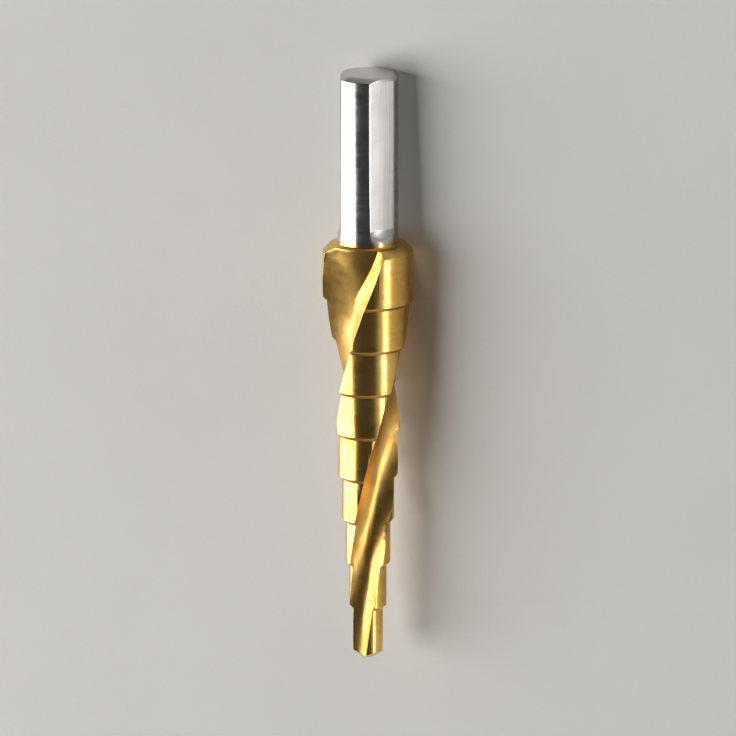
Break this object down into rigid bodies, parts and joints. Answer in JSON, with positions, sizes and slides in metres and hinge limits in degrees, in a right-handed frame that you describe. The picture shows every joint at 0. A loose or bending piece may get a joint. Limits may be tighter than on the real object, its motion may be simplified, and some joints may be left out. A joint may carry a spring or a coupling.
{
  "type": "step drill",
  "caption": "Spiral-fluted step drill in gold-coated steel, lying on its side, with a steel shank whose flats a drill chuck grips.",
  "frame": {"origin": "on the table under the middle of the lying drill, where +Z is up", "axes": "+Y along the table from the tip towards the shank, +X to the right when the shank points away; the drill's own axis drops 2.6 degrees below +Y towards the shank"},
  "size_m": [0.012, 0.08, 0.0108],
  "materials": {
    "coated_steel": "ground high-speed steel with a thin gold titanium nitride coating on the cutting part, and a bare bright shank"
  },
  "bodies": {
    "root": {"step_drill": "coated_steel"}
  },
  "joints": []
}
